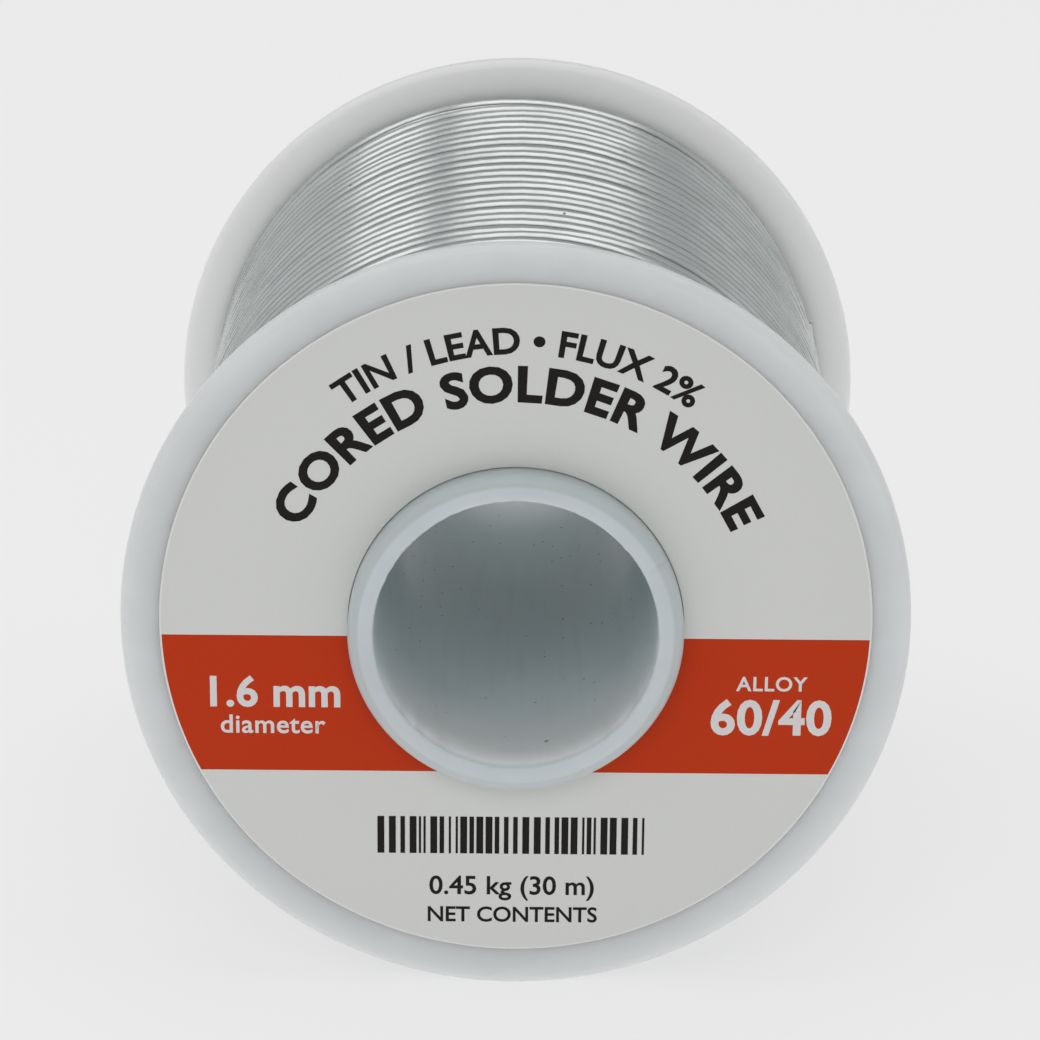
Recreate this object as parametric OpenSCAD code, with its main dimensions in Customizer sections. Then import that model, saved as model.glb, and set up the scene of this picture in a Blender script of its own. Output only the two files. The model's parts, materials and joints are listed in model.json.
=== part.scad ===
// Spool of flux-cored solder wire, lying on the rims of its two flanges.
// The bore's axis runs along Y and the origin is the middle of the bore.
// The front flange looks along -Y, and +Z is up.

/* [Spool] */
// Outer diameter of both flanges
flange_d = 54; // [52:0.5:60]
// Distance between the outermost planes of the two rims
rim_span = 55; // [50:0.5:70]
// Thickness of a flange
flange_t = 1.7; // [1.7:0.1:3]
// Radius of the rounding on each edge of a rim
rim_round = 0.65; // [0.3:0.05:0.8]
// Diameter of the bore, which slides over a 19.05 mm spindle
bore_d = 19.4; // [16:0.1:19.6]
// Wall thickness of the core tube
tube_wall = 1.75; // [1.5:0.05:2]
// How far each end of the core tube stands out past the rim
collar_out = 1.8; // [1:0.1:4]
// Rounding of a collar's outer edge
collar_round = 0.7; // [0.3:0.05:0.8]
// Rounding of the bore's mouth
mouth_round = 0.25; // [0.1:0.05:0.4]

/* [Labels] */
// Width of the bare rim around a label's recess
label_margin = 2.6; // [2:0.1:4]
// Depth of the recess floor below the rim
recess_depth = 0.37; // [0.35:0.01:0.9]
// Depth of the recess's lip below the rim
lip_depth = 0.25; // [0.1:0.01:0.3]
// Clearance between a label's outer edge and the lip
label_gap = 0.05; // [0.05:0.05:0.5]
// Clearance between a label's hole and the core tube
label_hole_gap = 0.1; // [0.05:0.05:1]
// Thickness of a label and its adhesive
label_t = 0.12; // [0.08:0.01:0.2]

/* [Winding] */
// Diameter of the solder wire
wire_d = 1.575; // [1.2:0.025:1.6]
// Turns in each layer
turns = 30; // [20:1:30]
// Outer radius of the full winding
winding_r = 24.15; // [20:0.05:24.5]
// How much the turns' pitch grows from front to rear, as a share of the mean
pitch_spread = 0.08; // [0:0.01:0.08]

/* [Wire end] */
// Angle of the cut end, counterclockwise from +X
tip_angle = 13; // [-60:1:170]
// Angle that the free last turn covers
tail_sweep = 340; // [90:5:345]
// Diameter of the flux core inside the wire
flux_d = 0.59; // [0.3:0.01:0.8]

/* [Hidden] */
$fn = 96;
LAYERS = 9;

PLASTIC = [0.86, 0.87, 0.87];
TUBE = [0.78, 0.81, 0.82];
PAPER = [0.93, 0.92, 0.90];
SOLDER = [0.66, 0.68, 0.69];
SOLDER_INNER = [0.52, 0.54, 0.56];
FLUX = [0.72, 0.50, 0.16];

bore_r = bore_d / 2;
flange_r = flange_d / 2;
wire_r = wire_d / 2;
tube_r = bore_r + tube_wall;
half_span = rim_span / 2;
tube_end = half_span + collar_out;
inner_face = half_span - flange_t;
recess_r = flange_r - label_margin;

// The turns' centres in each layer, and how they fill the width and the depth
turn_reach = inner_face - wire_r;
first_r = tube_r + wire_r;
last_r = winding_r - wire_r;
layer_step = (last_r - first_r) / (LAYERS - 1);

// Overshoot of a cutter past the surface that it cuts
over = 1;

function layer_r(i) = first_r + (i - 1) * layer_step;
function layer_in(i) = i == 1 ? tube_r : layer_r(i) - layer_step / 2;
function layer_out(i) = layer_r(i) + layer_step / 2;

// Axial place of turn j in the outermost layer, from 0 at the front to turns - 1 at the rear
function turn_y(j) =
    let (s = j / (turns - 1))
    turn_reach * (2 * (s + pitch_spread * s * (s - 1)) - 1);

// Spins a profile about the bore's axis: its x is the radius and its y lies along +Y
module spin() {
    rotate([-90, 0, 0]) rotate_extrude() children();
}

// The waste at a corner (x, y) of a profile whose solid lies towards sx, sy
module corner_waste(x, y, rho, sx, sy) {
    translate([x + sx * rho, y + sy * rho])
        difference() {
            translate([sx > 0 ? -rho - over : 0, sy > 0 ? -rho - over : 0]) square(rho + over);
            circle(rho);
        }
}

// The tube that carries the winding; its ends stand out of the flanges as collars
module core_tube() {
    color(TUBE) spin() difference() {
        translate([bore_r, -tube_end]) square([tube_wall, 2 * tube_end]);
        for (side = [-1, 1]) {
            corner_waste(tube_r, side * tube_end, collar_round, -1, -side);
            corner_waste(bore_r, side * tube_end, mouth_round, 1, -side);
        }
    }
}

// A flange's section: x is the radius, y the depth below the rim's outermost plane
module flange_profile() {
    crest_r = flange_r - rim_round;
    difference() {
        translate([tube_r, 0]) square([flange_r - tube_r, flange_t]);
        corner_waste(flange_r, 0, rim_round, -1, 1);
        corner_waste(flange_r, flange_t, rim_round, -1, -1);
        translate([tube_r - over, -over]) square([recess_r - tube_r + over, recess_depth + over]);
        polygon([
            [recess_r - over, -over], [crest_r, -over], [crest_r, 0],
            [recess_r, lip_depth], [recess_r - over, lip_depth]
        ]);
    }
}

// The flange is bonded to the tube behind the front label
module front_flange() {
    color(PLASTIC) spin() translate([0, -half_span]) flange_profile();
}

module rear_flange() {
    color(PLASTIC) spin() translate([0, half_span]) mirror([0, 1]) flange_profile();
}

module label_profile() {
    hole_r = tube_r + label_hole_gap;
    translate([hole_r, recess_depth - label_t])
        square([recess_r - label_gap - hole_r, label_t]);
}

module front_label() {
    color(PAPER) spin() translate([0, -half_span]) label_profile();
}

module rear_label() {
    color(PAPER) spin() translate([0, half_span]) mirror([0, 1]) label_profile();
}

// One layer of turns under the outermost one, as a plain sleeve from flange to flange
module inner_layer(i) {
    color(SOLDER_INNER) spin()
        translate([layer_in(i), -inner_face]) square([layer_out(i) - layer_in(i), 2 * inner_face]);
}

// The outermost layer shows every turn and leaves room for the last one, the free end
module outer_layer() {
    last = turns - 1;
    rear_edge = (turn_y(last - 1) + turn_y(last)) / 2;
    color(SOLDER) spin() {
        translate([layer_in(LAYERS), -inner_face])
            square([layer_r(LAYERS) - layer_in(LAYERS), rear_edge + inner_face]);
        for (j = [0 : last - 1])
            translate([layer_r(LAYERS), turn_y(j)]) circle(wire_r);
    }
}

module wire_layer(i) {
    if (i < LAYERS) inner_layer(i);
    else outer_layer();
}

// Sweeps a section along the wire's last turn, which lies on the layer below at the rear flange
module last_turn() {
    tail_r = layer_out(LAYERS - 1) + wire_r;
    rotate([90, 0, 0]) rotate([0, 0, tip_angle - tail_sweep])
        rotate_extrude(angle = tail_sweep)
            translate([tail_r, -turn_y(turns - 1)]) children();
}

module wire_free_end() {
    color(SOLDER) last_turn() difference() {
        circle(wire_r);
        circle(flux_d / 2);
    }
}

module flux_core() {
    color(FLUX) last_turn() circle(flux_d / 2);
}

core_tube();
front_flange();
rear_flange();
front_label();
rear_label();
for (i = [1 : LAYERS])
    wire_layer(i);
wire_free_end();
flux_core();
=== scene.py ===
"""The visual model of a spool of solder wire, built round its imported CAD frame.

Lengths are in metres. The bore's axis is Y, the front label looks along -Y and +Z is up.
"""

import json
import math

import bmesh
import bpy
import numpy as np
from mathutils import Matrix, Vector


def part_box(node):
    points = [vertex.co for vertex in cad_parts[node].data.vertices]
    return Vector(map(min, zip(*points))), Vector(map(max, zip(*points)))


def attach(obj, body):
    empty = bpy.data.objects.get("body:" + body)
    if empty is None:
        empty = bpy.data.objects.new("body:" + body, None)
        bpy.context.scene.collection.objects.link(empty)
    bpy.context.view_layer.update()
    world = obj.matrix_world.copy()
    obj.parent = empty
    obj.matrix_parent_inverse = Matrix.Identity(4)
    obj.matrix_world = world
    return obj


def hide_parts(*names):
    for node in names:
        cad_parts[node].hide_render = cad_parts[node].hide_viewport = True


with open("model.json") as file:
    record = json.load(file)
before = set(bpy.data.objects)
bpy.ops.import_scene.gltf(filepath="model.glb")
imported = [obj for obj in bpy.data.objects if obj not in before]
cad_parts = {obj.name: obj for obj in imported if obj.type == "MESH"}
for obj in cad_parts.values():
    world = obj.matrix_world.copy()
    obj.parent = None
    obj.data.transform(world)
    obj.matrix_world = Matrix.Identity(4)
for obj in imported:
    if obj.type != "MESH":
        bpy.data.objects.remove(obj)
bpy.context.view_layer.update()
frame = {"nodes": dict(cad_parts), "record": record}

MM = 0.001
ROUND = 256                      # steps round the axis in every turned piece
scene = bpy.context.scene


# ---------------------------------------------------------------- sizes from the frame

def outer_radius(node):
    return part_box(node)[1].x


def high_y(node):
    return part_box(node)[1].y


def low_y(node):
    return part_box(node)[0].y


spindle = next(m for m in frame["record"]["mounts"] if m["name"] == "spindle_bore")
BORE_R = spindle["dims"]["r_mm"] * MM
TUBE_R = outer_radius("core_tube")
TUBE_END = high_y("core_tube")
FLANGE_R = outer_radius("rear_flange")
RIM_Y = high_y("rear_flange")
INNER_Y = low_y("rear_flange")
LABEL_R = outer_radius("rear_label")
LABEL_FACE = high_y("rear_label")
LABEL_BACK = low_y("rear_label")

layer_nodes = sorted(name for name in frame["nodes"] if name.startswith("wire_layer_"))
LAYERS = len(layer_nodes)
WIRE_R = (high_y("wire_free_end") - low_y("wire_free_end")) / 2
FLUX_R = (high_y("flux_core") - low_y("flux_core")) / 2
FIRST_R = TUBE_R + WIRE_R
LAST_R = outer_radius(layer_nodes[-1]) - WIRE_R
LAYER_STEP = (LAST_R - FIRST_R) / (LAYERS - 1)
TURN_REACH = INNER_Y - WIRE_R
TAIL_R = outer_radius("wire_free_end") - WIRE_R


# ---------------------------------------------------------------- camera

CAMERA_SPOT = (-0.17 * MM, -278.3 * MM, 97.7 * MM)
CAMERA_PITCH = 19.72             # degrees down
CAMERA_YAW = -0.09
CAMERA_ROLL = -0.51
CAMERA_LENS = 136.6              # mm
CAMERA_SENSOR = 36               # mm wide


def make_camera():
    data = bpy.data.cameras.new("camera")
    data.sensor_width = CAMERA_SENSOR
    data.lens = CAMERA_LENS
    data.clip_start = 0.01
    camera = bpy.data.objects.new("camera", data)
    turn = (Matrix.Rotation(math.radians(CAMERA_YAW), 4, "Z")
            @ Matrix.Rotation(math.radians(-CAMERA_PITCH), 4, "X")
            @ Matrix.Rotation(math.radians(CAMERA_ROLL), 4, "Y")
            @ Matrix.Rotation(math.radians(90), 4, "X"))
    camera.matrix_world = Matrix.Translation(CAMERA_SPOT) @ turn
    scene.collection.objects.link(camera)
    scene.camera = camera


# ---------------------------------------------------------------- mesh helpers

SHARP_ANGLE = 35                 # degrees between two faces past which their edge is sharp


def add_object(name, mesh, materials):
    obj = bpy.data.objects.new(name, mesh)
    for material in materials:
        mesh.materials.append(material)
    scene.collection.objects.link(obj)
    return obj


def mesh_from(name, points, faces, sharp_angle=SHARP_ANGLE):
    """A smooth-shaded mesh with outward normals, sharp where faces meet at more than the angle."""
    mesh = bpy.data.meshes.new(name)
    mesh.from_pydata([tuple(p) for p in points], [], [tuple(f) for f in faces])
    work = bmesh.new()
    work.from_mesh(mesh)
    bmesh.ops.recalc_face_normals(work, faces=work.faces)
    work.to_mesh(mesh)
    work.free()
    mesh.shade_smooth()
    mesh.set_sharp_from_angle(angle=math.radians(sharp_angle))
    return mesh


def arc(r, y, rho, start, stop, steps):
    """Points of an arc about (r, y) in a section, angles in degrees from the +radius side."""
    angles = np.radians(np.linspace(start, stop, steps + 1))
    return [(r + rho * math.cos(a), y + rho * math.sin(a)) for a in angles]


def turned(name, outline, shape=None, steps=ROUND):
    """Spins a closed outline of (radius, y) points about the axis; shape may move each point."""
    count = len(outline)
    points = []
    for i in range(steps):
        a = 2 * math.pi * i / steps
        for r, y in outline:
            if shape:
                r, y = shape(r, y, a)
            points.append((r * math.cos(a), y, r * math.sin(a)))
    faces = []
    for i in range(steps):
        here, there = i * count, (i + 1) % steps * count
        for j in range(count):
            k = (j + 1) % count
            faces.append((here + j, here + k, there + k, there + j))
    return mesh_from(name, points, faces)


# ---------------------------------------------------------------- material helpers

def set_stops(ramp, stops):
    """Puts (position, colour) stops on a colour ramp."""
    while len(ramp.elements) < len(stops):
        ramp.elements.new(0.5)
    for element, (position, colour) in zip(ramp.elements, stops):
        element.position = position
        element.color = colour


class Shader:
    """A node material with its principled shader, built up by short calls."""

    def __init__(self, name):
        self.material = bpy.data.materials.new(name)
        self.material.use_nodes = True
        self.tree = self.material.node_tree
        self.shader = self.tree.nodes["Principled BSDF"]

    def node(self, kind, **values):
        made = self.tree.nodes.new("ShaderNode" + kind)
        for key, value in values.items():
            setattr(made, key, value)
        return made

    def link(self, source, target):
        self.tree.links.new(source, target)

    def set(self, **values):
        for key, value in values.items():
            self.shader.inputs[key.replace("_", " ")].default_value = value

    def place(self, stretch=(1, 1, 1)):
        """The object's own coordinates, stretched."""
        spot = self.node("TexCoord")
        mapping = self.node("Mapping")
        mapping.inputs["Scale"].default_value = stretch
        self.link(spot.outputs["Object"], mapping.inputs["Vector"])
        return mapping.outputs["Vector"]

    def noise(self, size, detail=4, roughness=0.55, where=None):
        """A noise pattern whose features are about size metres across, from 0 to 1."""
        made = self.node("TexNoise")
        made.inputs["Scale"].default_value = 1 / size
        made.inputs["Detail"].default_value = detail
        made.inputs["Roughness"].default_value = roughness
        self.link(where or self.place(), made.inputs["Vector"])
        return made.outputs["Fac"]

    def specks(self, size, share):
        """Small scattered spots, 1 inside and 0 outside, in about that share of the cells."""
        cells = self.node("TexVoronoi")
        cells.inputs["Scale"].default_value = 1 / size
        self.link(self.place(), cells.inputs["Vector"])
        near = self.ramp(cells.outputs["Distance"], [(0.10, 1.0), (0.16, 0.0)])
        chosen = self.ramp(self.red(cells.outputs["Color"]), [(share, 1.0), (share + 0.001, 0.0)])
        return self.math("MULTIPLY", near, chosen)

    def axes(self):
        """The object's own x, y and z."""
        made = self.node("SeparateXYZ")
        self.link(self.place(), made.inputs["Vector"])
        return made.outputs["X"], made.outputs["Y"], made.outputs["Z"]

    def between(self, value, start, stop):
        """Rises smoothly from 0 at start to 1 at stop."""
        made = self.node("MapRange", interpolation_type="SMOOTHSTEP")
        self.link(value, made.inputs["Value"])
        made.inputs["From Min"].default_value = start
        made.inputs["From Max"].default_value = stop
        return made.outputs["Result"]

    def red(self, colour):
        """A colour's red channel."""
        made = self.node("SeparateColor")
        self.link(colour, made.inputs["Color"])
        return made.outputs["Red"]

    def ramp(self, value, stops):
        """Maps a value through (position, level) stops."""
        made = self.node("ValToRGB")
        set_stops(made.color_ramp, [(position, (level, level, level, 1)) for position, level in stops])
        self.link(value, made.inputs["Fac"])
        return made.outputs["Color"]

    def math(self, operation, a, b=0):
        """A sum on sockets or numbers; an operation on one value ignores b."""
        made = self.node("Math", operation=operation)
        for socket, value in zip(made.inputs, (a, b)):
            if isinstance(value, (int, float)):
                socket.default_value = value
            else:
                self.link(value, socket)
        return made.outputs["Value"]

    def mix(self, factor, a, b):
        """Colour a where the factor is 0 and colour b where it is 1."""
        made = self.node("Mix", data_type="RGBA")
        self.link(factor, made.inputs["Factor"])
        for socket, value in ((made.inputs["A"], a), (made.inputs["B"], b)):
            if isinstance(value, tuple):
                socket.default_value = (*value, 1)
            else:
                self.link(value, socket)
        return made.outputs["Result"]

    def colour(self, source):
        self.link(source, self.shader.inputs["Base Color"])

    def roughness(self, source):
        self.link(source, self.shader.inputs["Roughness"])

    def bump(self, *layers):
        """Stacks (height, distance) layers of fine relief on the shader's normal."""
        normal = None
        for height, distance in layers:
            made = self.node("Bump")
            made.inputs["Distance"].default_value = distance
            self.link(height, made.inputs["Height"])
            if normal:
                self.link(normal, made.inputs["Normal"])
            normal = made.outputs["Normal"]
        self.link(normal, self.shader.inputs["Normal"])


DUST = (0.13, 0.13, 0.12)
STREAK_SHADE = 0.75              # of the streaks on the bore's wall, as a share of its colour


def tube_tones_with_painted_light(s, clouded, edge, mouth, bore):
    """The core tube's colour with its painted light and shade, and the extra dust that shows where the
    wound wire lies behind it.

    A collar's outer edge is painted darker than its face, as painted shade. The bore's wall has painted
    light:
    it is pale at the top and bottom of its mouths, and deeper in, where the wire lies behind it, it keeps
    its darker streaked colour.
    """
    x, y, z = s.axes()
    across = s.math("POWER", s.math("ADD", s.math("MULTIPLY", x, x), s.math("MULTIPLY", z, z)), 0.5)
    reach = s.math("ABSOLUTE", y)
    # Painted shade: the collars' outer edges take the darker edge colour.
    painted_shade_edge_mask = s.between(across, TUBE_R - 0.85 * MM, TUBE_R - 0.55 * MM)
    past_lip = s.between(reach, TUBE_END - 0.2 * MM, TUBE_END - 1.2 * MM)
    on_wall = s.between(across, BORE_R + 0.3 * MM, BORE_R + 0.1 * MM)
    inside = s.math("MULTIPLY", past_lip, on_wall)
    behind = s.between(reach, INNER_Y + 1.0 * MM, INNER_Y - 9 * MM)
    # Painted light: the bore's wall near the mouths is pale at the top and bottom.
    above_or_below = s.between(s.math("ABSOLUTE", z), 1.5 * MM, 8 * MM)
    pale = s.math("MULTIPLY", s.math("SUBTRACT", 1, behind), above_or_below)
    streak = s.noise(0.9 * MM, detail=2, where=s.place((1, 0.08, 1)))
    shaded = tuple(STREAK_SHADE * c for c in bore)
    streaked = s.mix(s.ramp(streak, [(0.5, 0.0), (0.8, 0.25)]), bore, shaded)
    wall = s.mix(pale, streaked, mouth)
    tones = s.mix(inside, s.mix(painted_shade_edge_mask, clouded, edge), wall)
    shade = s.math("MULTIPLY", inside, behind)
    return tones, s.math("MULTIPLY", shade, s.specks(0.7 * MM, 0.16))


def plastic(name, light, dark, tube_colours_and_painted_light=None):
    """Milky moulded plastic: faint clouding, a satin skin and a few dust specks; the core tube's also gets
    painted light and shade.
    """
    s = Shader(name)
    tones = s.mix(s.ramp(s.noise(6 * MM, detail=3), [(0.35, 0.0), (0.65, 1.0)]), light, dark)
    dust = s.specks(1.1 * MM, 0.006)
    if tube_colours_and_painted_light:
        tones, more_dust = tube_tones_with_painted_light(s, tones, **tube_colours_and_painted_light)
        dust = s.math("MAXIMUM", dust, more_dust)
    s.colour(s.mix(dust, tones, DUST))
    s.roughness(s.ramp(s.noise(1.5 * MM), [(0.3, 0.30), (0.7, 0.42)]))
    s.set(Subsurface_Weight=1.0, Subsurface_Scale=4 * MM, Subsurface_Radius=(1.0, 0.98, 0.96))
    s.set(IOR=1.5)
    s.bump((s.noise(0.35 * MM, detail=2), 0.004 * MM), (s.noise(9 * MM, detail=1), 0.06 * MM))
    return s.material


def paper(name, light, dark, least_rough):
    """Coated label paper or the ink on it: fine fibres and a soft sheen."""
    s = Shader(name)
    fibre = s.noise(0.25 * MM, detail=6, roughness=0.7, where=s.place((1, 1, 2.5)))
    s.colour(s.mix(s.ramp(fibre, [(0.3, 0.0), (0.7, 1.0)]), light, dark))
    s.roughness(s.ramp(fibre, [(0.3, least_rough), (0.7, least_rough + 0.12)]))
    s.set(Specular_IOR_Level=0.15)
    s.bump((fibre, 0.006 * MM), (s.noise(5 * MM, detail=2), 0.05 * MM))
    return s.material


SOLDER = (0.70, 0.72, 0.72)
SOLDER_STREAK = (0.62, 0.645, 0.64)
SOLDER_DULL = (0.56, 0.59, 0.58)
# Painted shade, partly tarnish: the darker colour of the wire's sides and the grooves between turns.
SOLDER_GROOVE_SHADE_AND_TARNISH = (0.25, 0.26, 0.26)
SOLDER_SPECK = (0.20, 0.20, 0.19)
GROOVE_SHADE_AND_TARNISH = 0.55                   # how much of the grooves' colour is the painted shade and tarnish colour
GROOVE_EDGE = 0.40               # share of the way round, from the wire's inward side, where the painted shade and tarnish start
GROOVE_FULL = 0.36               # the same where it is full, as it is from there inwards


def solder(name):
    """Bright drawn solder: streaks along the wire, dull patches, painted shade with some tarnish in the
    grooves, and specks.
    """
    s = Shader(name)
    along = s.node("UVMap", uv_map="wire")
    stretch = s.node("Mapping")
    stretch.inputs["Scale"].default_value = (0.05, 1, 1)
    s.link(along.outputs["UV"], stretch.inputs["Vector"])
    streak = s.noise(0.09, detail=3, where=stretch.outputs["Vector"])
    dull = s.noise(3.5 * MM, detail=5, roughness=0.65)
    bright = s.mix(s.ramp(streak, [(0.3, 0.0), (0.7, 1.0)]), SOLDER, SOLDER_STREAK)
    worn = s.mix(s.ramp(dull, [(0.45, 0.0), (0.75, 1.0)]), bright, SOLDER_DULL)
    around = s.node("SeparateXYZ")
    s.link(along.outputs["UV"], around.inputs["Vector"])
    off_inside = s.math("ABSOLUTE", s.math("SUBTRACT", around.outputs["Y"], 0.5))
    groove = s.between(off_inside, GROOVE_EDGE, GROOVE_FULL)
    # Painted shade with some tarnish: darkens all of the wire but its outward crown.
    worn = s.mix(s.math("MULTIPLY", groove, GROOVE_SHADE_AND_TARNISH), worn, SOLDER_GROOVE_SHADE_AND_TARNISH)
    s.colour(s.mix(s.specks(0.8 * MM, 0.02), worn, SOLDER_SPECK))
    s.roughness(s.ramp(dull, [(0.3, 0.18), (0.75, 0.28)]))
    s.set(Metallic=1.0)
    s.bump((streak, 0.003 * MM), (s.noise(2.5 * MM, detail=2), 0.008 * MM))
    return s.material


def flux(name):
    """Amber resin, darker in places."""
    s = Shader(name)
    s.colour(s.mix(s.noise(0.2 * MM), (0.30, 0.17, 0.05), (0.12, 0.07, 0.03)))
    s.set(Roughness=0.3)
    s.bump((s.noise(0.1 * MM), 0.01 * MM))
    return s.material


# ---------------------------------------------------------------- spool

RIM_ROUND = 0.65 * MM            # rounding of a rim's edges
LIP_GAP = 0.02 * MM              # from a label's edge to the recess's wall
LIP_DEPTH = 0.25 * MM            # of the lip below the rim
LIP_ROUND = 0.04 * MM
COLLAR_ROUND = 0.7 * MM
MOUTH_ROUND = 0.25 * MM
GATE_ANGLE = math.radians(28)    # of the moulding mark on the front collar
GATE_WIDTH = math.radians(1.1)
GATE_DEPTH = 0.16 * MM
BURR = 0.03 * MM                 # raggedness of the bore's mouths
FACE_ZONE = 0.5 * MM             # depth of the front collar's face that the moulding mark changes
TUBE_STEPS = 2 * ROUND           # round the axis in the core tube
WALL_STEPS = 24                  # along the bore


def flange_outline(side):
    """A flange's section; side is -1 at the front and 1 at the rear."""
    thick = RIM_Y - INNER_Y
    floor = RIM_Y - LABEL_BACK
    lip_r = LABEL_R + LIP_GAP
    edge_r = FLANGE_R - RIM_ROUND
    slope = math.degrees(math.atan2(LIP_DEPTH, edge_r - lip_r))
    section = [(TUBE_R, floor), (lip_r, floor)]
    section += arc(lip_r + LIP_ROUND, LIP_DEPTH + LIP_ROUND, LIP_ROUND, 180, 270 - slope, 4)
    section += arc(edge_r, RIM_ROUND, RIM_ROUND, -90 - slope, 0, 16)
    section += arc(edge_r, thick - RIM_ROUND, RIM_ROUND, 0, 90, 14)
    section += [(TUBE_R, thick)]
    return [(r, side * (RIM_Y - depth)) for r, depth in section]


def tube_outline():
    """The core tube's section, with its two rounded collars."""
    far = TUBE_END
    section = arc(TUBE_R - COLLAR_ROUND, far - COLLAR_ROUND, COLLAR_ROUND, 0, 90, 10)
    section += arc(BORE_R + MOUTH_ROUND, far - MOUTH_ROUND, MOUTH_ROUND, 90, 180, 6)
    wall = [(BORE_R, y) for y in np.linspace(far, -far, WALL_STEPS + 1)[2:-2]]
    return section + wall + [(r, -y) for r, y in reversed(section)]


def tube_flaws():
    """Moves points of the core tube: a gate mark on the front collar and slightly ragged mouths."""
    rng = np.random.default_rng(5)
    rough = rng.normal(size=TUBE_STEPS)
    rough = (rough + np.roll(rough, 1) + np.roll(rough, 2)) / 3

    def flawed(r, y, a):
        near_mouth = abs(y) > TUBE_END - MOUTH_ROUND and r < BORE_R + MOUTH_ROUND
        if near_mouth:
            r -= BURR * rough[round(a / (2 * math.pi) * TUBE_STEPS) % TUBE_STEPS]
        if y < FACE_ZONE - TUBE_END and r > BORE_R + MOUTH_ROUND:
            y += GATE_DEPTH * max(0, 1 - ((a - GATE_ANGLE) / GATE_WIDTH) ** 2)
        return r, y

    return flawed


def make_flange(name, side, material):
    flange = add_object(name + "_shell", turned(name, flange_outline(side)), [material])
    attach(flange, "root")
    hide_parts(name)


def make_tube(material):
    mesh = turned("core_tube", tube_outline(), tube_flaws(), TUBE_STEPS)
    tube = add_object("core_tube_shell", mesh, [material])
    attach(tube, "root")
    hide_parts("core_tube")


# ---------------------------------------------------------------- labels

HOLE_GAP = 0.05 * MM             # from the core tube to a label's hole
CUT_EDGE = 0.14 * MM             # width of the bare white paper along the outer edge
CUT_DROP = 0.03 * MM             # how far that edge is pressed down
BAND_TOP = -0.8 * MM
BAND_BOTTOM = -10.8 * MM
INK = 0.01 * MM                  # how far the printing stands on the paper
CAP_HEIGHT = 0.682               # of the built-in font, as a share of its size
PAPER, BAND, BLACK, WHITE, EDGE = range(5)
LEAST_PUSH = 0.3                 # a letter's vertex that its edges push less than this stays put
LONGEST_MITRE = 1.6              # the most that a letter's corner moves, as a multiple of the bolding
WELD = 1e-5                      # gap closed in a letter's outline, in letter sizes
BAR_WIDTHS = (0.16, 0.32, 0.48)  # mm
SPACE_WIDTHS = (0.16, 0.32)      # mm
LEFT_COLUMN = -16.7 * MM         # where the middle of each column of words is
MIDDLE_COLUMN = -0.1 * MM
RIGHT_COLUMN = 17.6 * MM


def label_outline(side):
    hole_r = TUBE_R + HOLE_GAP
    section = [(hole_r, LABEL_BACK), (LABEL_R, LABEL_BACK)]
    section += arc(LABEL_R - CUT_DROP, LABEL_FACE - 2 * CUT_DROP, CUT_DROP, 0, 70, 2)
    section += [(LABEL_R - CUT_EDGE, LABEL_FACE), (hole_r, LABEL_FACE)]
    return [(r, side * y) for r, y in section]


def printed_label(name, side):
    """A label whose coloured band is cut out of its own face."""
    work = bmesh.new()
    work.from_mesh(turned(name, label_outline(side)))
    for z in (BAND_TOP, BAND_BOTTOM):
        everything = list(work.verts) + list(work.edges) + list(work.faces)
        bmesh.ops.bisect_plane(work, geom=everything, plane_co=(0, 0, z), plane_no=(0, 0, 1))
    for face in work.faces:
        spot = face.calc_center_median()
        if math.hypot(spot.x, spot.z) > LABEL_R - CUT_EDGE:
            face.material_index = EDGE
        elif BAND_BOTTOM < spot.z < BAND_TOP and side * spot.y > LABEL_FACE - CUT_DROP / 2:
            face.material_index = BAND
    mesh = bpy.data.meshes.new(name)
    work.to_mesh(mesh)
    work.free()
    mesh.shade_smooth()
    mesh.set_sharp_from_angle(angle=math.radians(SHARP_ANGLE))
    return mesh


def embolden(work, by):
    """Moves the outline of flat letters outwards."""
    moves = {}
    for vertex in work.verts:
        push = Vector((0, 0, 0))
        for edge in vertex.link_edges:
            if edge.is_boundary:
                away = Vector((0, 0, 1)).cross(edge.verts[1].co - edge.verts[0].co).normalized()
                inside = edge.link_faces[0].calc_center_median() - edge.verts[0].co
                push += away if away.dot(inside) < 0 else -away
        if push.length > LEAST_PUSH:
            moves[vertex] = push.normalized() * by * min(2 / push.length, LONGEST_MITRE)
    for vertex, move in moves.items():
        vertex.co += move


def lettering(words, cap, spot, colour, bold=0.0, spread=1.0, arc_r=None):
    """Printed words, cap high, centred on spot (x, z), or bent round the axis at arc_r."""
    data = bpy.data.curves.new("words", "FONT")
    data.body = words
    data.size = 1
    data.align_x = "CENTER"
    data.space_character = spread
    data.resolution_u = 4
    text = bpy.data.objects.new("words", data)
    scene.collection.objects.link(text)
    bpy.context.view_layer.update()
    flat = bpy.data.meshes.new_from_object(text.evaluated_get(bpy.context.evaluated_depsgraph_get()))
    bpy.data.objects.remove(text)
    work = bmesh.new()
    work.from_mesh(flat)
    bmesh.ops.remove_doubles(work, verts=work.verts, dist=WELD)
    size = cap / CAP_HEIGHT
    embolden(work, bold / size)
    raised = bmesh.ops.extrude_face_region(work, geom=work.faces[:], use_keep_orig=True)
    for piece in raised["geom"]:
        if isinstance(piece, bmesh.types.BMVert):
            piece.co.z = INK / size
    bmesh.ops.recalc_face_normals(work, faces=work.faces)
    for vertex in work.verts:
        x, z, lift = vertex.co * size
        if arc_r:
            r, a = arc_r + z, x / arc_r
            x, z = r * math.sin(a), r * math.cos(a)
        else:
            x, z = x + spot[0], z + spot[1]
        vertex.co = (x, -LABEL_FACE - lift, z)
    for face in work.faces:
        face.material_index = colour
    mesh = bpy.data.meshes.new("words")
    work.to_mesh(mesh)
    work.free()
    return mesh


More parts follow.
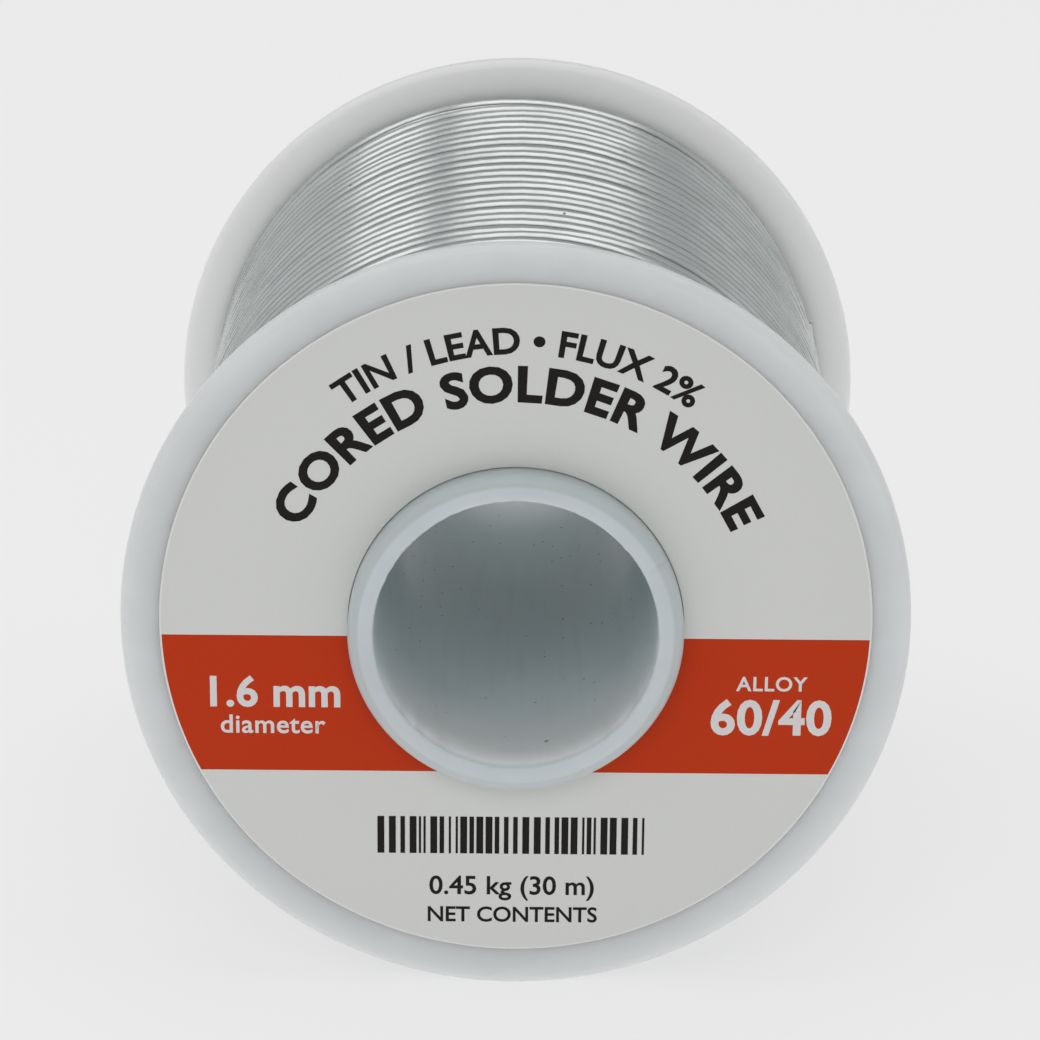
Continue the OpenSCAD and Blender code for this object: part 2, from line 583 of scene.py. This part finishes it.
def bars(left, right, bottom, top):
    """A strip of upright bars of mixed widths."""
    rng = np.random.default_rng(7)
    points, faces = [], []
    x = left
    while x < right - 0.5 * MM:
        wide = rng.choice(BAR_WIDTHS) * MM
        base = len(points)
        for y in (-LABEL_FACE, -LABEL_FACE - INK):
            points += [(x, y, bottom), (x + wide, y, bottom), (x + wide, y, top), (x, y, top)]
        near, far = [base + i for i in range(4)], [base + 4 + i for i in range(4)]
        faces += [near, far[::-1]]
        faces += [(near[i], near[(i + 1) % 4], far[(i + 1) % 4], far[i]) for i in range(4)]
        x += wide + rng.choice(SPACE_WIDTHS) * MM
    mesh = mesh_from("bars", points, faces)
    for face in mesh.polygons:
        face.material_index = BLACK
    return mesh


def join_meshes(name, meshes):
    work = bmesh.new()
    for mesh in meshes:
        work.from_mesh(mesh)
    joined = bpy.data.meshes.new(name)
    work.to_mesh(joined)
    work.free()
    return joined


def make_front_label(materials):
    printing = [
        lettering("TIN / LEAD \u2022 FLUX 2%", 1.72 * MM, None, BLACK,
                  bold=0.07 * MM, spread=1.02, arc_r=19.5 * MM),
        lettering("CORED SOLDER WIRE", 2.3 * MM, None, BLACK,
                  bold=0.13 * MM, spread=1.10, arc_r=16.2 * MM),
        lettering("1.6 mm", 2.1 * MM, (LEFT_COLUMN, -6.0 * MM), WHITE, bold=0.08 * MM, spread=1.03),
        lettering("diameter", 1.3 * MM, (LEFT_COLUMN, -8.0 * MM), WHITE, bold=0.03 * MM, spread=1.05),
        lettering("ALLOY", 1.0 * MM, (RIGHT_COLUMN, -4.6 * MM), WHITE, bold=0.03 * MM, spread=1.1),
        lettering("60/40", 2.4 * MM, (RIGHT_COLUMN, -7.8 * MM), WHITE, bold=0.10 * MM, spread=1.05),
        bars(left=-9.5 * MM, right=9.5 * MM, bottom=-17.0 * MM, top=-14.2 * MM),
        lettering("0.45 kg (30 m)", 1.35 * MM, (MIDDLE_COLUMN, -20.1 * MM), BLACK, bold=0.03 * MM),
        lettering("NET CONTENTS", 1.1 * MM, (MIDDLE_COLUMN, -22.2 * MM), BLACK, bold=0.03 * MM),
    ]
    mesh = join_meshes("front_label", [printed_label("front_label", -1)] + printing)
    label = add_object("front_label_print", mesh, materials)
    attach(label, "root")
    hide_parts("front_label")


def make_rear_label(materials):
    label = add_object("rear_label_print", printed_label("rear_label", 1), materials)
    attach(label, "root")
    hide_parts("rear_label")


# ---------------------------------------------------------------- wire

TURNS = 30                       # in a layer that touches both flanges; the next has one less
PITCH_SPREAD = 0.08              # the outermost pitch runs from this share under its mean to over it
TIP_ANGLE = math.radians(13)     # of the cut end, above +X
SIDES = 12                       # of the wire's own cross-section
INNER_RINGS = 20                 # rings to a turn
OUTER_RINGS = 96
CROSSING = 0.16                  # the share of a turn in which the wire steps to the next place
CROSSING_ANGLE = TIP_ANGLE + 2 * math.pi * CROSSING    # where each step ends; it starts at TIP_ANGLE
GAP_WAVES = 4                    # waves whose sum is a gap's sway round the spool
GAP_SWAY = 0.45                  # how unevenly the gaps between the outermost turns are shared
RISE_WAVES = range(4, 10)        # waves to a turn in which the outermost turns rise and fall
RISE = 0.012 * MM                # the usual size of one such wave
TIP_LIFT = 0.08 * MM             # how far the cut end springs away from the winding
TIP_STRETCH = 0.03               # the share of a turn over which it does
PINCH = 0.55                     # width of the squeezed end, as a share of the wire's
PINCH_RINGS = 4                  # rings over which it narrows
CORE_RINGS = 12                  # the wire's last rings, which hold the modelled end of the flux core
CORE_PROUD = 0.06 * MM           # how far the flux stands out of the cut


def smooth(t):
    t = min(max(t, 0.0), 1.0)
    return t * t * (3 - 2 * t)


def stepped(turn):
    """Turn count with each step to the next turn squeezed into the crossing."""
    whole = math.floor(turn)
    return whole + smooth((turn - whole - (1 - CROSSING)) / CROSSING)


def layer_place(layer, turn):
    """Axial place of a turn in an inner layer; odd layers run rearwards and even ones forwards."""
    if layer % 2:
        return TURN_REACH * (2 * turn / (TURNS - 1) - 1)
    half_pitch = TURN_REACH / (TURNS - 1)
    return (TURN_REACH - half_pitch) * (1 - 2 * turn / (TURNS - 2))


def outer_places():
    """Axial place of each outermost turn at each ring round it: the gaps sway but never close."""
    rng = np.random.default_rng(11)
    s = np.arange(TURNS) / (TURNS - 1)
    even = TURN_REACH * (2 * (s + PITCH_SPREAD * s * (s - 1)) - 1)
    gaps = np.diff(even) - 2 * WIRE_R
    angles = 2 * np.pi * np.arange(OUTER_RINGS) / OUTER_RINGS
    sway = np.zeros((TURNS - 1, OUTER_RINGS))
    for wave in range(GAP_WAVES):
        size = rng.normal(size=(TURNS - 1, 1)) / (1 + wave) ** 0.5
        sway += size * np.cos(wave * angles + rng.uniform(0, 2 * np.pi, (TURNS - 1, 1)))
    shared = gaps[:, None] * np.exp(GAP_SWAY * sway)
    shared *= gaps.sum() / shared.sum(axis=0)
    steps = np.vstack([np.zeros(OUTER_RINGS), shared + 2 * WIRE_R])
    return np.cumsum(steps, axis=0) - TURN_REACH


def outer_rise():
    """How far each ring of the outermost layer stands out from its even radius."""
    rng = np.random.default_rng(23)
    angles = 2 * np.pi * np.arange(OUTER_RINGS) / OUTER_RINGS
    rise = np.zeros((TURNS + 1, OUTER_RINGS))
    for wave in RISE_WAVES:
        size = rng.normal(size=(TURNS + 1, 1))
        rise += size * np.cos(wave * angles + rng.uniform(0, 2 * np.pi, (TURNS + 1, 1)))
    return (RISE * rise).ravel()


def inner_points():
    """Ring centres of every layer but the outermost, each climbing to the next in a crossing."""
    points = []
    for layer in range(1, LAYERS):
        count = TURNS - (layer + 1) % 2
        for i in range(count * INNER_RINGS):
            turn = i / INNER_RINGS
            angle = CROSSING_ANGLE + 2 * math.pi * turn
            climb = smooth((turn - count + CROSSING) / CROSSING)
            y = layer_place(layer, min(stepped(turn), count - 1))
            y += (layer_place(layer + 1, 0) - y) * climb
            r = FIRST_R + LAYER_STEP * (layer - 1 + climb)
            points.append((r * math.cos(angle), y, r * math.sin(angle)))
    return points


def outer_points():
    """Ring centres of the outermost layer, which ends on the rear flange where a step would start."""
    places = outer_places()
    rise = outer_rise()
    points = []
    stop = int(round((TURNS - CROSSING) * OUTER_RINGS))
    for i in range(stop + 1):
        turn = i / OUTER_RINGS
        angle = CROSSING_ANGLE + 2 * math.pi * turn
        place = min(stepped(turn), TURNS - 1)
        low = min(int(place), TURNS - 2)
        here, there = places[low:low + 2, i % OUTER_RINGS]
        y = here + (there - here) * (place - low)
        r = LAST_R + (TAIL_R - LAST_R) * smooth(place - TURNS + 2) + rise[i]
        r += TIP_LIFT * max(0, 1 - (stop - i) / OUTER_RINGS / TIP_STRETCH) ** 2
        points.append((r * math.cos(angle), y, r * math.sin(angle)))
    return points


def wire_path():
    """The centres of the wire's rings, from the core tube to the cut end."""
    return np.array(inner_points() + outer_points())


def tube_along(name, path, radii):
    """A closed tube round a path that winds about the axis, with UVs along and around it.

    Each ring has two radii, the first away from the axis and the second across the wire.
    """
    ahead = np.gradient(path, axis=0)
    ahead /= np.linalg.norm(ahead, axis=1)[:, None]
    out = path * (1, 0, 1)
    out /= np.linalg.norm(out, axis=1)[:, None]
    side = np.cross(ahead, out)
    side /= np.linalg.norm(side, axis=1)[:, None]
    out = np.cross(side, ahead)
    a = 2 * np.pi * np.arange(SIDES) / SIDES
    rings = (path[:, None]
             + out[:, None] * (radii[:, :1] * np.cos(a))[..., None]
             + side[:, None] * (radii[:, 1:] * np.sin(a))[..., None])
    points = rings.reshape(-1, 3)
    first = np.arange(len(path) - 1)[:, None] * SIDES
    j = np.arange(SIDES)
    k = (j + 1) % SIDES
    quads = np.stack([first + j, first + k, first + SIDES + k, first + SIDES + j], -1).reshape(-1, 4)
    last = (len(path) - 1) * SIDES
    faces = [list(q) for q in quads.tolist()]
    faces += [list(range(SIDES))[::-1], list(range(last, last + SIDES))]
    mesh = mesh_from(name, points, faces, sharp_angle=60)
    lengths = np.concatenate([[0], np.cumsum(np.linalg.norm(np.diff(path, axis=0), axis=1))])
    uv = mesh.uv_layers.new(name="wire")
    loops = np.empty(len(mesh.loops), int)
    mesh.loops.foreach_get("vertex_index", loops)
    coords = np.stack([lengths[loops // SIDES] / (2 * math.pi * WIRE_R), (loops % SIDES) / SIDES], 1)
    for polygon in mesh.polygons:
        loop = list(polygon.loop_indices)
        across_seam = coords[loop, 1].max() > 1 - 1.5 / SIDES and coords[loop, 1].min() == 0
        if len(loop) == 4 and across_seam:
            for index in loop:
                if coords[index, 1] == 0:
                    coords[index, 1] = 1.0
    uv.data.foreach_set("uv", coords.ravel())
    return mesh


def make_wire(metal, resin):
    path = wire_path()
    radii = np.full((len(path), 2), WIRE_R)
    for i in range(PINCH_RINGS):
        radii[-1 - i, 1] *= PINCH + (1 - PINCH) * i / PINCH_RINGS
    wire = add_object("solder_wire", tube_along("solder_wire", path, radii), [metal])
    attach(wire, "root")
    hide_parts(*layer_nodes, "wire_free_end")
    ahead = path[-1] - path[-2]
    ahead /= np.linalg.norm(ahead)
    core_path = np.vstack([path[-CORE_RINGS:], path[-1] + ahead * CORE_PROUD])
    core_radii = np.full((len(core_path), 2), FLUX_R)
    core = add_object("flux_core_end", tube_along("flux_core", core_path, core_radii), [resin])
    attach(core, "root")
    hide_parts("flux_core")


# ---------------------------------------------------------------- studio

FLOOR_REACH = 3.0
FLOOR_GREY = (0.27, 0.27, 0.27, 1)
FLOOR_GLOW = 0.64
WARM = (1.0, 0.975, 0.96)
ENERGY = 4                       # an area light's energy for each square metre and unit of radiance
SKY_DIM = (0.20, 0.20, 0.20, 1)
SKY = (0.43, 0.445, 0.445, 1)
SKY_LOW = (0.38, 0.39, 0.39, 1)


def make_floor():
    """A pale table that is softly lit from below."""
    mesh = bpy.data.meshes.new("floor")
    outline = [(-1, -1), (1, -1), (1, 1), (-1, 1)]
    points = [(x * FLOOR_REACH, y * FLOOR_REACH, -FLANGE_R) for x, y in outline]
    mesh.from_pydata(points, [], [(0, 1, 2, 3)])
    s = Shader("floor")
    s.set(Base_Color=FLOOR_GREY, Roughness=0.9, Specular_IOR_Level=0.0)
    s.set(Emission_Color=(1, 1, 1, 1), Emission_Strength=FLOOR_GLOW)
    floor = add_object("floor", mesh, [s.material])


def area_light(name, spot, size, radiance):
    """A rectangular light, which adds its radiance to the room's."""
    data = bpy.data.lights.new(name, "AREA")
    data.shape = "RECTANGLE"
    data.size, data.size_y = size
    data.energy = ENERGY * radiance * size[0] * size[1]
    light = bpy.data.objects.new(name, data)
    light.location = spot
    scene.collection.objects.link(light)
    return light


def softbox(name, spot, size, radiance):
    """A light over the spool or beside it, its long side along Y."""
    light = area_light(name, spot, size, radiance)
    light.data.color = WARM
    light.rotation_euler = (0, math.atan2(spot[0], spot[2]), 0)


def front_light(spot, size, radiance):
    """A light above the camera for the label, the rear flange's inner face and the bore."""
    light = area_light("front_light", spot, size, radiance)
    light.rotation_euler = (-Vector(spot)).to_track_quat("-Z", "Y").to_euler()


def make_sky():
    """A grey room, darker behind the camera and low behind the spool."""
    world = bpy.data.worlds.new("studio")
    world.use_nodes = True
    nodes = world.node_tree.nodes
    links = world.node_tree.links
    spot = nodes.new("ShaderNodeTexCoord")
    split = nodes.new("ShaderNodeSeparateXYZ")
    links.new(spot.outputs["Generated"], split.inputs["Vector"])
    levels = nodes.new("ShaderNodeValToRGB")
    lift = nodes.new("ShaderNodeMapRange")
    lift.inputs["From Min"].default_value = -1
    links.new(split.outputs["Y"], lift.inputs["Value"])
    links.new(lift.outputs["Result"], levels.inputs["Fac"])
    set_stops(levels.color_ramp, [(0.24, SKY_DIM), (0.36, SKY), (0.92, SKY), (0.97, SKY_LOW)])
    links.new(levels.outputs["Color"], nodes["Background"].inputs["Color"])
    scene.world = world


def make_studio():
    make_floor()
    make_sky()
    softbox("softbox_middle", spot=(0.105, 0.19, 0.99), size=(0.75, 0.94), radiance=0.66)
    softbox("softbox_left", spot=(-0.60, 0.19, 1.0), size=(0.38, 0.94), radiance=0.70)
    softbox("wall_right", spot=(1.31, 0.20, 0.73), size=(1.03, 2.60), radiance=0.12)
    softbox("wall_left", spot=(-1.31, 0.20, 0.73), size=(1.03, 2.60), radiance=0.14)
    front_light(spot=(-0.10, -0.75, 0.65), size=(0.90, 0.45), radiance=1.3)
    scene.view_settings.view_transform = "Standard"


# ---------------------------------------------------------------- build

make_camera()
make_wire(solder("solder"), flux("flux"))
# The edge colour is painted shade on the collars' outer edges, and the mouth colour is painted light at the
# top and bottom of the bore's mouths.
tube_colours_and_painted_light = {"edge": (0.50, 0.55, 0.56), "mouth": (0.93, 0.98, 1.0), "bore": (0.68, 0.76, 0.77)}
make_tube(plastic("tube_plastic", (0.62, 0.68, 0.71), (0.58, 0.635, 0.665), tube_colours_and_painted_light))
# The two flanges are one plastic in two shades: the front one darker as painted shade, the rear one lighter
# as painted light from behind.
make_flange("front_flange", -1, plastic("front_plastic_painted_shade", (0.71, 0.735, 0.745), (0.675, 0.70, 0.71)))
make_flange("rear_flange", 1, plastic("rear_plastic_painted_light", (0.97, 0.975, 0.965), (0.945, 0.955, 0.945)))
label_materials = [
    paper("label_paper", (0.80, 0.81, 0.785), (0.77, 0.78, 0.755), 0.45),
    paper("label_band", (0.62, 0.044, 0.004), (0.56, 0.038, 0.003), 0.40),
    paper("label_black", (0.010, 0.008, 0.007), (0.016, 0.013, 0.012), 0.40),
    paper("label_white", (0.85, 0.83, 0.82), (0.80, 0.78, 0.77), 0.45),
    paper("label_edge", (0.92, 0.92, 0.91), (0.88, 0.88, 0.87), 0.50),
]
make_front_label(label_materials)
make_rear_label(label_materials)
make_studio()
